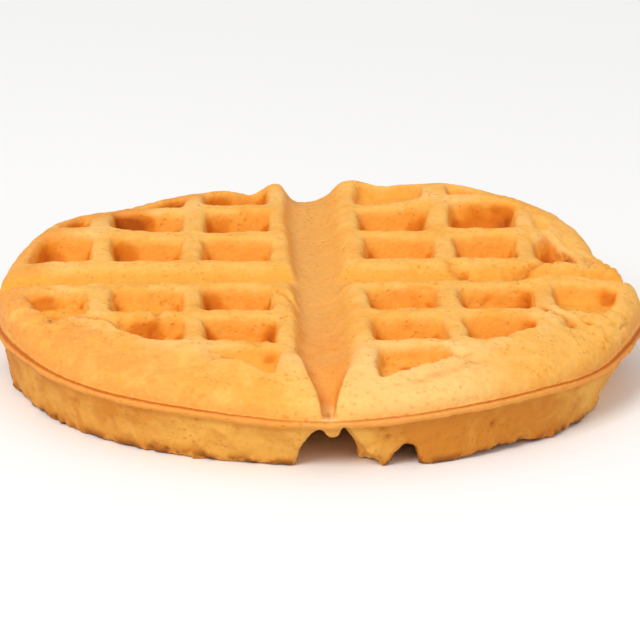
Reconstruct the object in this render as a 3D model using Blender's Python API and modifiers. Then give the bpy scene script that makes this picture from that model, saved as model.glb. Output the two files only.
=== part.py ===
"""A thick round waffle: pockets on both faces, two crossing channels, and a crust lip at the seam.

All sizes are in metres. The waffle lies on its underside with +Z up and its front at -Y, and the
axis of its round outline is the world's Z axis. Heights count from the table. The dough is built
as it is baked: a turned slab, pressed by one stud for each pocket and by a bar for each channel,
then settled a little out of true, rounded, and cut flat where it touches the table.
"""

import math
import random

import bmesh
import bpy
from mathutils import Matrix, Vector, noise

MM = 0.001

# Driving dimensions of the whole
SEAM_RADIUS = 90.0 * MM
SEAM_HEIGHT = 15.0 * MM
CROWN = 12.2 * MM
TOP_HEIGHT = SEAM_HEIGHT + CROWN

# The pattern of pockets and channels, alike on both faces
PITCH = 25.2 * MM
RIDGE = 9.9 * MM
RIB_WIDTH = 5.6 * MM
POCKETS_PER_ROW = 3
POCKET_DEPTH = 8.4 * MM
UNDER_POCKET_DEPTH = 8.8 * MM
POCKET_SLOPE = 0.22
POCKET_ROUNDING = 2.0 * MM

# The round slab: where its shoulder begins, how square it is, the lip, and the lower side
SHOULDER_START = 60.0 * MM
SHOULDER_SQUARENESS = 5.2
LIP = 1.2 * MM
LOWER_SIDE = ((86.8 * MM, 9.0 * MM), (85.4 * MM, 4.0 * MM), (84.6 * MM, 1.0 * MM), (83.0 * MM, 0.0))
TURN_STEPS = 128

# How far from the axis the pockets reach, every 22.5 degrees from +X towards the back
TOP_REACH = [reach * MM for reach in (82, 75, 80, 82, 82, 82, 82, 82.5, 82, 80, 70.5, 72, 81.5, 76, 71, 82)]
UNDER_REACH = [76.0 * MM] * len(TOP_REACH)
REACH_DRAFT = 3.0 * MM

# The channels: half widths at the rib tops, how square each side of the floor is, and the floors' heights
# from the seam. The side at -X, or at +Y, comes first.
CHANNEL_HALF_WIDTH = 8.2 * MM
CROSS_HALF_WIDTH = 7.2 * MM
UNDER_HALF_WIDTH = 8.4 * MM
CHANNEL_SQUARENESS = (5.5, 2.2)
CROSS_SQUARENESS = (2.6, 2.6)
UNDER_SQUARENESS = (3.6, 3.6)
CHANNEL_FLOOR = 7.4 * MM
CHANNEL_NARROWING = 0.8
CROSS_FLOOR = 8.6 * MM
UNDER_CEILING = -6.5 * MM
UNDER_LIP = 1.9 * MM
CHANNEL_LENGTH = 2.15 * SEAM_RADIUS
CLEAR = 3.0 * MM

# Dough and faces
VOXEL = 1.1 * MM
WANDER = 0.9 * MM
WANDER_LENGTH = 34.0 * MM
REST_CUT = 0.35 * MM
MOST_TRIANGLES = 10400
SEED = 7

# Pockets of the top that came out shallow or filled, as the share of the depth that is left.
# The quarter is the sign of X and of Y, then come the column and the row from the middle.
DEPTH_LEFT = {
    (-1, -1, 2, 1): 0.72, (-1, -1, 3, 1): 0.62, (-1, -1, 2, 2): 0.8, (-1, -1, 3, 2): 0.16,
    (-1, -1, 1, 3): 0.5, (-1, -1, 2, 3): 0.1, (1, -1, 3, 1): 0.66, (1, -1, 3, 2): 0.3,
    (1, -1, 1, 3): 0.6, (1, -1, 2, 3): 0.1, (1, 1, 3, 1): 0.75, (1, 1, 3, 2): 0.3,
    (1, 1, 1, 3): 0.5, (1, 1, 2, 3): 0.62, (-1, 1, 2, 3): 0.85, (-1, 1, 3, 2): 0.85,
}

# Swells and sags of the baked dough: x, y, reach and rise of the upper face
SWELLS = [
    (54 * MM, 64 * MM, 40 * MM, 3.4 * MM), (34 * MM, 76 * MM, 22 * MM, 1.6 * MM),
    (12 * MM, 82 * MM, 10 * MM, 1.8 * MM), (-10.5 * MM, 83 * MM, 8 * MM, 2.2 * MM),
    (-17.5 * MM, 84 * MM, 9 * MM, -1.8 * MM), (-34 * MM, 78 * MM, 24 * MM, 0.5 * MM),
    (-74 * MM, 42 * MM, 34 * MM, 3.0 * MM), (76 * MM, 22 * MM, 20 * MM, -2.0 * MM),
    (0.0, 80 * MM, 100 * MM, 1.1 * MM), (-3 * MM, 86 * MM, 13 * MM, -2.0 * MM),
    (66 * MM, -5 * MM, 15 * MM, 1.4 * MM), (0.0, -92 * MM, 42 * MM, -1.3 * MM),
    (76 * MM, -52 * MM, 26 * MM, -1.0 * MM),
]

# The front's soft shoulder: how much lower than the back's, and where it begins and ends
FRONT_DROOP = 3.6 * MM
DROOP_START = 70.0 * MM
DROOP_END = 86.0 * MM

# The round outline is dented at the right: azimuth, half width in degrees, and share of the radius
DENT_AZIMUTH = 12.0
DENT_HALF_WIDTH = 24.0
DENT_SHARE = 0.055

# How far the foot of the lower side spreads, every 22.5 degrees from +X towards the back
FOOT_SPREAD = [spread * MM for spread in (-3.0, 0, 0, 0, 0, 0, 0, 0, 0.8, 1.4, 0.7, -0.4, -1.0, 3.0, 1.8, -1.4)]

# Places where the lower half is torn away: the middle, the radii and how square each one is across
TEARS = {
    "NotchTear": ((20.2 * MM, -82 * MM, 0.0), (2.6 * MM, 14 * MM, 6.8 * MM), 6),
    "NotchSideTear": ((17.4 * MM, -82 * MM, 0.0), (2.8 * MM, 12 * MM, 4.8 * MM), 2),
    "ToothTear": ((10.5 * MM, -86 * MM, 0.0), (3.6 * MM, 8 * MM, 3.6 * MM), 2),
    "ArchTear": ((6.0 * MM, -88 * MM, 0.0), (4.2 * MM, 11 * MM, 9.0 * MM), 2),
    "CrownTear": ((3.2 * MM, -90 * MM, 8.0 * MM), (4.2 * MM, 9 * MM, 6.2 * MM), 2),
    "RightTear": ((90 * MM, -28 * MM, 0.0), (16 * MM, 32 * MM, 13.6 * MM), 3),
    "FootTear": ((48 * MM, -73 * MM, 0.0), (15 * MM, 10 * MM, 1.8 * MM), 2),
}
TONGUE = ((1.0 * MM, -86.5 * MM, 12.4 * MM), (2.0 * MM, 2.6 * MM, 2.4 * MM), 2)


def collection(name):
    made = bpy.data.collections.new(name)
    bpy.context.scene.collection.children.link(made)
    return made


def object_from(bm, name, home):
    """A new object in the collection home, from a bmesh whose faces are turned outwards."""
    bmesh.ops.recalc_face_normals(bm, faces=bm.faces)
    mesh = bpy.data.meshes.new(name)
    bm.to_mesh(mesh)
    bm.free()
    made = bpy.data.objects.new(name, mesh)
    home.objects.link(made)
    return made


def as_cutter(made):
    made.hide_render = True
    made.display_type = "WIRE"
    return made


def bake(made):
    """Turns the object's modifiers into plain mesh."""
    bpy.context.view_layer.update()
    graph = bpy.context.evaluated_depsgraph_get()
    mesh = bpy.data.meshes.new_from_object(made.evaluated_get(graph))
    made.modifiers.clear()
    made.data = mesh


def boolean(made, operation, other=None, group=None):
    """Cuts or joins one object, or every object of a group: EXACT leaves open edges where a group overlaps."""
    cut = made.modifiers.new(operation.title(), "BOOLEAN")
    cut.operation = operation
    if group:
        cut.operand_type = "COLLECTION"
        cut.collection = group
        cut.solver = "MANIFOLD"
    else:
        cut.object = other


def turned(name, profile, home):
    """A solid of revolution from (radius, height) points, which run from the top to the bottom."""
    mesh = bpy.data.meshes.new(name)
    mesh.from_pydata([(r, 0, z) for r, z in profile], [(i, i + 1) for i in range(len(profile) - 1)], [])
    made = bpy.data.objects.new(name, mesh)
    home.objects.link(made)
    screw = made.modifiers.new("Turn", "SCREW")
    screw.steps = TURN_STEPS
    screw.render_steps = TURN_STEPS
    screw.use_merge_vertices = True
    screw.merge_threshold = 0.01 * MM
    bake(made)
    return made


def by_direction(values, angle):
    """A value for this angle, blended smoothly between values given for even steps round the circle."""
    place = (angle / math.tau * len(values)) % len(values)
    before = int(place)
    share = place - before
    share = share * share * (3 - 2 * share)
    return values[before] * (1 - share) + values[(before + 1) % len(values)] * share


def slab_profile():
    points = [(0.0, TOP_HEIGHT)]
    steps = 9
    for i in range(steps + 1):
        turn = math.pi / 2 * i / (steps + 1)
        out = math.sin(turn) ** (2 / SHOULDER_SQUARENESS)
        up = math.cos(turn) ** (2 / SHOULDER_SQUARENESS)
        points.append((SHOULDER_START + (SEAM_RADIUS - LIP - SHOULDER_START) * out, SEAM_HEIGHT + CROWN * up))
    points.append((SEAM_RADIUS, SEAM_HEIGHT + 0.7 * LIP))
    points.append((SEAM_RADIUS, SEAM_HEIGHT - 0.7 * LIP))
    points.append((SEAM_RADIUS - 1.9 * LIP, SEAM_HEIGHT - 1.6 * LIP))
    points.extend(LOWER_SIDE)
    points.append((0.0, 0.0))
    return points


def pocket_cells():
    """The quarter, column and row of every pocket, with the middle of its cell."""
    for side_x in (-1, 1):
        for side_y in (-1, 1):
            for column in range(1, POCKETS_PER_ROW + 1):
                for row in range(1, POCKETS_PER_ROW + 1):
                    if column + row < 2 * POCKETS_PER_ROW:
                        x = side_x * (RIDGE + (column - 0.5) * PITCH)
                        y = side_y * (RIDGE + (row - 0.5) * PITCH)
                        yield (side_x, side_y, column, row), Vector((x, y, 0))


def press_stud(bm, centre, turn, depth, face_height):
    """One stud of the iron: a tapered block, rounded but for its wide end, which stands clear of the dough."""
    mouth = (PITCH - RIB_WIDTH) / 2
    block = bmesh.ops.create_cube(bm, size=2)["verts"]
    for vert in block:
        above = CLEAR if vert.co.z > 0 else -depth
        half = mouth + POCKET_SLOPE * above
        place = Vector((vert.co.x * half, vert.co.y * half, 0))
        vert.co = centre + Matrix.Rotation(turn, 3, "Z") @ place + Vector((0, 0, face_height + above))
    edges = {edge for vert in block for edge in vert.link_edges}
    wide_end = face_height + CLEAR / 2
    rounded = [e for e in edges if any(v.co.z < wide_end for v in e.verts)]
    offset = min(POCKET_ROUNDING, 0.8 * depth)
    bmesh.ops.bevel(bm, geom=rounded, offset=offset, segments=3, profile=0.5, affect="EDGES")


def limit_studs(studs, reach, low, high, draft):
    """Ends the studs inside the rim, with a turned block that is wider at the open face."""
    profile = [(0.0, high), (1.0, high), (1.0, low), (0.0, low)]
    ring = as_cutter(turned(studs.name + "Reach", profile, bpy.data.collections["Guides"]))
    for vert in ring.data.vertices:
        radius = math.hypot(vert.co.x, vert.co.y)
        if radius > 0.5:
            out = by_direction(reach, math.atan2(vert.co.y, vert.co.x))
            out += draft if vert.co.z > (low + high) / 2 else -draft
            vert.co.x *= out
            vert.co.y *= out
    boolean(studs, "INTERSECT", ring)
    bake(studs)
    return as_cutter(studs)


def top_studs(home, draws):
    bm = bmesh.new()
    for cell, centre in pocket_cells():
        depth = POCKET_DEPTH * DEPTH_LEFT.get(cell, 1.0) + draws.uniform(-0.5, 0.5) * MM
        shift = Vector((draws.uniform(-0.6, 0.6), draws.uniform(-0.6, 0.6), 0)) * MM
        turn = math.radians(draws.uniform(-3, 3))
        if depth > 0.6 * MM:
            press_stud(bm, centre + shift, turn, depth, TOP_HEIGHT)
    studs = object_from(bm, "TopStuds", home)
    limit_studs(studs, TOP_REACH, SEAM_HEIGHT, TOP_HEIGHT + 2 * CLEAR, REACH_DRAFT)


def under_studs(home, draws):
    """The studs of the lower plate, built as for a top face and turned over."""
    bm = bmesh.new()
    for _, centre in pocket_cells():
        inner_corner = math.hypot(*(abs(v) - PITCH / 2 for v in centre.xy))
        depth = UNDER_POCKET_DEPTH + draws.uniform(-0.6, 0.4) * MM
        turn = math.radians(draws.uniform(-2, 2))
        if inner_corner < 0.9 * UNDER_REACH[0]:
            press_stud(bm, centre, turn, depth, 0.0)
    bmesh.ops.scale(bm, vec=(1, 1, -1), verts=bm.verts)
    studs = object_from(bm, "UnderStuds", home)
    limit_studs(studs, UNDER_REACH, -2 * CLEAR, SEAM_HEIGHT, -REACH_DRAFT)


def front_end(along):
    """How far a channel has come to its front end: 0 across the middle and 1 at the seam."""
    return ease((-along - 64 * MM) / (27 * MM))


def trough(name, half_width, floor, face_height, squareness, turn, home, narrowing=0.0):
    """A bar that presses a channel. floor gives the deepest height along its length, and from there the
    sides curve up, or down on the underside, to meet face_height at the half width. The half width
    shrinks towards the front end by the share narrowing."""
    beyond = CLEAR * 3 * (1 if face_height > SEAM_HEIGHT else -1)
    bm = bmesh.new()
    bmesh.ops.create_grid(bm, x_segments=18, y_segments=64, size=1)
    for vert in bm.verts:
        across, along = vert.co.x, vert.co.y * CHANNEL_LENGTH / 2
        deepest = floor(along)
        height = deepest + (face_height - deepest) * abs(across) ** squareness[across > 0]
        width = half_width * (1 - narrowing * front_end(along))
        vert.co = Vector((across * width, along, height))
    raised = bmesh.ops.extrude_face_region(bm, geom=bm.faces[:])["geom"]
    for vert in raised:
        if isinstance(vert, bmesh.types.BMVert):
            vert.co.z = face_height + beyond
    bmesh.ops.rotate(bm, matrix=Matrix.Rotation(turn, 3, "Z"), verts=bm.verts)
    return as_cutter(object_from(bm, name, home))


def ease(value):
    value = min(max(value, 0.0), 1.0)
    return value * value * (3 - 2 * value)


def channel_floor(along):
    """Level across the middle, and down to the seam at the front edge."""
    return SEAM_HEIGHT + CHANNEL_FLOOR * (1 - front_end(along))


def cross_floor(along):
    return SEAM_HEIGHT + CROSS_FLOOR - 5.0 * MM * ease((abs(along) - 74 * MM) / (16 * MM))


def under_ceiling(along):
    """Rises towards the rim, where it stops just under the lip."""
    lift = ease((abs(along) - 55 * MM) / (33 * MM))
    return SEAM_HEIGHT + UNDER_CEILING * (1 - lift) - UNDER_LIP * lift


def torn_lump(name, centre, radii, squareness, home, roughness=0.12):
    """An uneven ball, for a bite out of the crust or for a flake that hangs from it. It is a true ball
    at squareness 2, and turns into a drum across X above that."""
    bm = bmesh.new()
    bmesh.ops.create_icosphere(bm, subdivisions=4, radius=1)
    for vert in bm.verts:
        swell = 1 + roughness * noise.noise(vert.co * 2.1 + Vector(centre) / MM)
        vert.co.x = math.copysign(abs(vert.co.x) ** (2 / squareness), vert.co.x)
        vert.co = Vector([c + r * swell * v for c, r, v in zip(centre, radii, vert.co)])
    return as_cutter(object_from(bm, name, home))


def out_of_round(place, radius, angle):
    """How far the outline moves out there: in at the dent, and out where the foot spreads."""
    away = abs(math.degrees(angle) - DENT_AZIMUTH) / DENT_HALF_WIDTH
    dent = DENT_SHARE * radius * (1 - away * away) ** 2 if away < 1 else 0.0
    foot = by_direction(FOOT_SPREAD, angle) * ease((SEAM_HEIGHT - place.z) / SEAM_HEIGHT)
    return foot * ease((radius - 66 * MM) / (16 * MM)) - dent * ease((radius - 40 * MM) / (40 * MM))


def settle(place):
    """Where a point of the true shape ends up in the uneven dough."""
    lifted = ease(place.z / SEAM_HEIGHT)
    radius = math.hypot(place.x, place.y)
    wander = noise.noise_vector(Vector((place.x, place.y, SEED * WANDER_LENGTH)) / WANDER_LENGTH)
    moved = place + Vector((wander.x, wander.y, 0.35 * wander.z * lifted)) * WANDER
    for x, y, reach, rise in SWELLS:
        away = math.hypot(place.x - x, place.y - y) / reach
        if away < 1:
            moved.z += rise * (1 - away * away) ** 2 * lifted
    if radius > 40 * MM:
        angle = math.atan2(place.y, place.x)
        moved += Vector((math.cos(angle), math.sin(angle), 0)) * out_of_round(place, radius, angle)
        front = ease((-place.y / radius - 0.15) / 0.5)
        sunk = ease((radius - DROOP_START) / (DROOP_END - DROOP_START))
        moved.z -= FRONT_DROOP * front * sunk * ease((place.z - SEAM_HEIGHT) / (0.5 * CROWN))
    return moved


def rest_flat(waffle, home):
    """Cuts the ribs of the underside level, and stands the waffle on the table with its box centred."""
    bm = bmesh.new()
    bmesh.ops.create_cube(bm, size=1)
    bmesh.ops.scale(bm, vec=(3 * SEAM_RADIUS, 3 * SEAM_RADIUS, SEAM_HEIGHT), verts=bm.verts)
    bmesh.ops.translate(bm, vec=(0, 0, REST_CUT - SEAM_HEIGHT / 2), verts=bm.verts)
    boolean(waffle, "DIFFERENCE", as_cutter(object_from(bm, "TableCut", home)))
    bake(waffle)
    corners = [[vert.co[axis] for vert in waffle.data.vertices] for axis in range(3)]
    middle = [(min(values) + max(values)) / 2 for values in corners[:2]]
    for vert in waffle.data.vertices:
        vert.co -= Vector((*middle, REST_CUT))


def crust_material():
    crust = bpy.data.materials.new("Crust")
    crust.use_nodes = True
    shader = crust.node_tree.nodes["Principled BSDF"]
    shader.inputs["Base Color"].default_value = (0.80, 0.40, 0.11, 1)
    shader.inputs["Roughness"].default_value = 0.6
    shader.inputs["Metallic"].default_value = 0.0
    return crust


def build():
    for old in list(bpy.data.objects):
        bpy.data.objects.remove(old)
    home = collection("Waffle")
    cutters = collection("Cutters")
    guides = collection("Guides")
    draws = random.Random(SEED)

    waffle = turned("waffle", slab_profile(), home)
    top_studs(cutters, draws)
    under_studs(cutters, draws)
    across = math.pi / 2
    trough("Channel", CHANNEL_HALF_WIDTH, channel_floor, TOP_HEIGHT, CHANNEL_SQUARENESS, 0.0, cutters,
           CHANNEL_NARROWING)
    trough("Cross", CROSS_HALF_WIDTH, cross_floor, TOP_HEIGHT, CROSS_SQUARENESS, across, cutters)
    trough("UnderChannel", UNDER_HALF_WIDTH, under_ceiling, 0.0, UNDER_SQUARENESS, 0.0, cutters)
    trough("UnderCross", CROSS_HALF_WIDTH, under_ceiling, 0.0, UNDER_SQUARENESS, across, cutters)
    for name, tear in TEARS.items():
        torn_lump(name, *tear, cutters)
    boolean(waffle, "DIFFERENCE", group=cutters)
    boolean(waffle, "UNION", torn_lump("Tongue", *TONGUE, guides))

    remesh = waffle.modifiers.new("Dough", "REMESH")
    remesh.mode = "VOXEL"
    remesh.voxel_size = VOXEL
    bake(waffle)
    for vert in waffle.data.vertices:
        vert.co = settle(vert.co)

    rounding = waffle.modifiers.new("Rounding", "SMOOTH")
    rounding.factor = 0.5
    rounding.iterations = 3
    bake(waffle)
    waffle.data.calc_loop_triangles()
    thin = waffle.modifiers.new("Faces", "DECIMATE")
    thin.ratio = MOST_TRIANGLES / len(waffle.data.loop_triangles)
    bake(waffle)

    rest_flat(waffle, guides)
    waffle.data.materials.clear()
    waffle.data.materials.append(crust_material())
    waffle.data.shade_smooth()
    waffle.data.set_sharp_from_angle(angle=math.radians(50))


build()
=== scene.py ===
"""The looks of a thick round waffle, made around its solid.

The dough is pressed as an iron presses it: a turned slab, a stud for each pocket and a bar for each
channel, all by one rule and from the same sizes as the solid. Then it is settled a little out of true,
its crust gets its relief, and one material browns it by height, hollows and place, painting shade into
its hollows, creases and folds and under its lip, and highlight on its crest and front right.
Sizes are in metres, or in millimetres where a comment says so. The waffle lies on its underside, +Z up,
with its front at -Y.
"""

import math
import random

import bpy
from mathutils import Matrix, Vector, noise


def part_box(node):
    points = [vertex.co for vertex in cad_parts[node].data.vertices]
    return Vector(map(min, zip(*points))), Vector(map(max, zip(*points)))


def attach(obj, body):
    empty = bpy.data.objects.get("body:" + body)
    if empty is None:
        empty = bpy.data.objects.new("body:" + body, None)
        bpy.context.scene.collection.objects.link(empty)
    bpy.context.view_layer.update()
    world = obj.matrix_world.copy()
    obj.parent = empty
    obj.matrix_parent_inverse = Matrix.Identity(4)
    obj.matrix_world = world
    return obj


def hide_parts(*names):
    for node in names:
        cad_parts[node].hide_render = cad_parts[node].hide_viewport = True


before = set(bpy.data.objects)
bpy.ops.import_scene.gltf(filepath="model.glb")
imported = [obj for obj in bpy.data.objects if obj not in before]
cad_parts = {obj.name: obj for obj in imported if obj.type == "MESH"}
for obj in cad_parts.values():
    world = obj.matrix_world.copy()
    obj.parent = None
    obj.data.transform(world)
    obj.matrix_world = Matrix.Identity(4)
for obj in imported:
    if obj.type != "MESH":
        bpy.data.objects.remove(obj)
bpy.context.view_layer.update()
SOLID_LOW, SOLID_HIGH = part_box("waffle")

MM = 0.001

# Sizes that the solid has too
SEAM_RADIUS = 90.0 * MM
SEAM_HEIGHT = 15.0 * MM
CROWN = 12.2 * MM
TOP_HEIGHT = SEAM_HEIGHT + CROWN
PITCH = 25.2 * MM
RIDGE = 9.9 * MM
RIB_WIDTH = 5.6 * MM
POCKETS_PER_ROW = 3
POCKET_DEPTH = 8.4 * MM
UNDER_POCKET_DEPTH = 8.8 * MM
POCKET_SLOPE = 0.22
SHOULDER_START = 60.0 * MM
SHOULDER_SQUARENESS = 5.2
LIP = 1.2 * MM
LOWER_SIDE = ((86.8 * MM, 9.0 * MM), (85.4 * MM, 4.0 * MM), (84.6 * MM, 1.0 * MM), (83.0 * MM, 0.0))
TOP_REACH = [reach * MM for reach in (82, 75, 80, 82, 82, 82, 82, 82.5, 82, 80, 70.5, 72, 81.5, 76, 71, 82)]
UNDER_REACH = [76.0 * MM] * len(TOP_REACH)
CHANNEL_HALF_WIDTH = 8.2 * MM
CROSS_HALF_WIDTH = 7.2 * MM
UNDER_HALF_WIDTH = 8.4 * MM
CHANNEL_SQUARENESS = (5.5, 2.2)
CROSS_SQUARENESS = 2.6
UNDER_SQUARENESS = 3.6
CHANNEL_FLOOR = 7.4 * MM
CHANNEL_NARROWING = 0.8
CROSS_FLOOR = 8.6 * MM
UNDER_CEILING = -6.5 * MM
UNDER_LIP = 1.9 * MM
WANDER = 0.9 * MM
WANDER_LENGTH = 34.0 * MM
REST_CUT = 0.35 * MM
SEED = 7

# How far past its reach a pocket still goes at the face
REACH_AT_FACE = 1.0 * MM

# Between these distances from the middle the channel's floor drops at the front, the cross channel's
# falls off at both ends, and the underside's ceilings rise towards the rim
CHANNEL_DROP = (64 * MM, 91 * MM)
CROSS_END = (74 * MM, 90 * MM)
CROSS_FALL = 5.0 * MM
UNDER_LIFT = (55 * MM, 88 * MM)

# The lip's outline from above to below: out from the seam's radius and up from its height, in lips
LIP_SHAPE = ((-1.05, 1.1), (0.0, 0.3), (0.0, -0.3), (-1.3, -1.1))

# Pockets of the top that came out shallow or filled, as the share of the depth that is left.
# The quarter is the sign of X and of Y, then come the column and the row from the middle.
DEPTH_LEFT = {
    (-1, -1, 2, 1): 0.72, (-1, -1, 3, 1): 0.62, (-1, -1, 2, 2): 0.8, (-1, -1, 3, 2): 0.16,
    (-1, -1, 1, 3): 0.5, (-1, -1, 2, 3): 0.1, (1, -1, 3, 1): 0.66, (1, -1, 3, 2): 0.3,
    (1, -1, 1, 3): 0.6, (1, -1, 2, 3): 0.1, (1, 1, 3, 1): 0.75, (1, 1, 3, 2): 0.3,
    (1, 1, 1, 3): 0.5, (1, 1, 2, 3): 0.62, (-1, 1, 2, 3): 0.85, (-1, 1, 3, 2): 0.85,
}

# Swells and sags of the baked dough: x, y, reach and rise of the upper face
SWELLS = [
    (54 * MM, 64 * MM, 40 * MM, 3.4 * MM), (34 * MM, 76 * MM, 22 * MM, 1.6 * MM),
    (12 * MM, 82 * MM, 10 * MM, 1.8 * MM), (-10.5 * MM, 83 * MM, 8 * MM, 2.2 * MM),
    (-17.5 * MM, 84 * MM, 9 * MM, -1.8 * MM), (-34 * MM, 78 * MM, 24 * MM, 0.5 * MM),
    (-74 * MM, 42 * MM, 34 * MM, 3.0 * MM), (76 * MM, 22 * MM, 20 * MM, -2.0 * MM),
    (0.0, 80 * MM, 100 * MM, 1.1 * MM), (-3 * MM, 86 * MM, 13 * MM, -2.0 * MM),
    (66 * MM, -5 * MM, 15 * MM, 1.4 * MM), (0.0, -92 * MM, 42 * MM, -1.3 * MM),
    (76 * MM, -52 * MM, 26 * MM, -1.0 * MM),
]

# The front's soft shoulder: how much lower than the back's, and where it begins and ends
FRONT_DROOP = 3.6 * MM
DROOP_START = 70.0 * MM
DROOP_END = 86.0 * MM

# The round outline is dented at the right: azimuth, half width in degrees, and share of the radius
DENT_AZIMUTH = 12.0
DENT_HALF_WIDTH = 24.0
DENT_SHARE = 0.055

# How far the foot of the lower side spreads, every 22.5 degrees from +X towards the back
FOOT_SPREAD = [spread * MM for spread in
               (-3.0, 0, 0, 0, 0, 0, 0, 0, 0.8, 1.4, 0.7, -0.4, -1.0, 3.0, 1.8, -1.4)]

# Places where the lower half is torn away: each one's middle, its radii and how square it is.
# The foot between the two openings at the front is a little rounder here than in the solid.
TEARS = [
    ((20.2 * MM, -82 * MM, 0.0), (2.6 * MM, 14 * MM, 6.8 * MM), 6),
    ((18.2 * MM, -82 * MM, 0.0), (2.6 * MM, 12 * MM, 4.8 * MM), 2),
    ((10.1 * MM, -86 * MM, 0.0), (3.6 * MM, 8 * MM, 3.8 * MM), 2),
    ((6.0 * MM, -88 * MM, 0.0), (4.2 * MM, 11 * MM, 9.0 * MM), 2),
    ((3.2 * MM, -90 * MM, 8.0 * MM), (4.2 * MM, 9 * MM, 6.2 * MM), 2),
    ((90.0 * MM, -28 * MM, 0.0), (16.0 * MM, 32 * MM, 13.6 * MM), 3),
    ((48 * MM, -73 * MM, 0.0), (15 * MM, 10 * MM, 1.8 * MM), 2),
]
TONGUE = ((1.0 * MM, -86.5 * MM, 12.4 * MM), (2.0 * MM, 2.6 * MM, 2.4 * MM))

# Places where the top's skin is wrinkled and torn: x, y, reach and how much
ROUGH_PLACES = [
    (-62 * MM, -24 * MM, 34 * MM, 0.8 * MM), (72 * MM, -32 * MM, 20 * MM, 1.2 * MM),
    (30 * MM, -66 * MM, 22 * MM, 0.8 * MM), (-20 * MM, -66 * MM, 22 * MM, 0.8 * MM),
    (76 * MM, 16 * MM, 20 * MM, 1.2 * MM), (46 * MM, -2 * MM, 30 * MM, 0.9 * MM),
]

# Folds and cracks of the top: depth, width, and the places they run through in millimetres
FOLDS = [
    (1.3, 2.4, ((34, 11), (37, 7), (40, 2), (44, 0), (50, -1), (58, 5), (63, 10), (68, 11))),
    (-0.7, 2.6, ((38, 12), (43, 5), (50, 4), (57, 10))),
    (1.6, 2.0, ((64, 35), (66, 27), (69, 23), (71, 18), (71, 14))),
    (1.1, 1.7, ((-80, -24), (-78, -23), (-76, -21), (-74, -21), (-72, -24), (-69, -22))),
    (0.9, 1.8, ((-77, -31), (-74, -33), (-73, -35), (-70, -34))),
    (1.0, 2.6, ((-69, -32), (-66, -34), (-60, -38), (-55, -42), (-49, -45), (-46, -46))),
    (1.0, 2.4, ((-42, -23), (-43, -27), (-45, -33), (-45, -40), (-46, -45), (-45, -49))),
    (-0.8, 3.0, ((-50, -24), (-49, -32), (-50, -39))),
    (1.6, 1.6, ((-12, -16), (-10, -19), (-9, -22), (-8, -25))),
    (1.4, 1.5, ((-12, -40), (-10, -39), (-9, -38), (-6, -38))),
    (0.45, 1.6, ((-4, -15), (-1, -15), (2, -13), (5, -14))),
    (0.5, 2.6, ((-21, -88), (-17, -86), (-13, -84), (-9, -81))),
    (0.6, 3.0, ((18, -82), (24, -79), (31, -75), (38, -70), (44, -66))),
    (1.3, 1.8, ((57, -30), (59, -32), (61, -34), (60, -36))),
    (1.3, 1.8, ((62, -36), (64, -37), (67, -38))),
    (1.2, 1.8, ((70, -36), (71, -38), (73, -37))),
    (1.2, 2.0, ((40, 5), (40, 3), (40, 0))),
    (0.8, 1.8, ((28, -62), (31, -66), (36, -68), (40, -66))),
    (0.7, 1.6, ((40, -50), (44, -54), (49, -55), (54, -51))),
    (-0.7, 2.4, ((84, 13), (82, 6), (84, -1), (85, -9))),
    (1.2, 2.4, ((78, 13), (84, 10), (90, 8))),
    (0.8, 2.2, ((-33, -66), (-29, -69), (-24, -69), (-20, -66))),
]

# How close the points along a fold are, in millimetres
FOLD_STEP = 0.5

# Patches of the top that baked darker: x, y and reach in millimetres, and how dark
BROWN_PATCHES = [
    (-54, 57, 11, 2.4), (-40, 73, 11, 1.9), (-28, 77, 7, 1.1), (-69, 46, 9, 1.1), (-81, 27, 9, 0.6),
    (-75, 29, 7, 0.7), (-54, 30, 7, 0.8), (54, 56, 7, 1.1), (47, 55, 9, 0.8), (57, 19, 7, 0.9),
    (80, -13, 7, 0.9), (63, -24, 5, 0.7), (57, -15, 6, 0.9), (39, -24, 5, 0.6), (41, 76, 7, 0.8),
    (-13, 78, 6, 1.0), (-13, 50, 6, 1.0), (-28, 55, 8, 0.7), (-13, 21, 5, 0.8), (-30, -14, 8, 0.8),
    (-13, -20, 6, 1.0), (-31, -42, 5, 0.7), (-14, -41, 5, 0.8), (56, -40, 6, 0.9), (-48, -39, 8, 1.0),
    (-76, -13, 9, 0.9), (-14, -64, 5, 0.8), (13, 47, 5, 0.7), (14, 20, 5, 0.6), (13, -21, 4, 0.6),
    (13, -51, 5, 0.7), (30, 56, 7, 0.5), (72, 20, 4, 0.9), (21, -68, 3.5, 1.2), (40, 4, 3, 1.0),
    (-63, -15, 6, 0.5), (60, -33, 3.5, 1.0), (65, -38, 3.5, 0.9), (72, -38, 3.2, 0.9),
]

# How finely the dough is made
SHOULDER_STEPS = 14
TURN_STEPS = 640
PROFILE_STEPS = 420
VOXEL = 0.8 * MM
MOST_TRIANGLES = 192000


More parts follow.
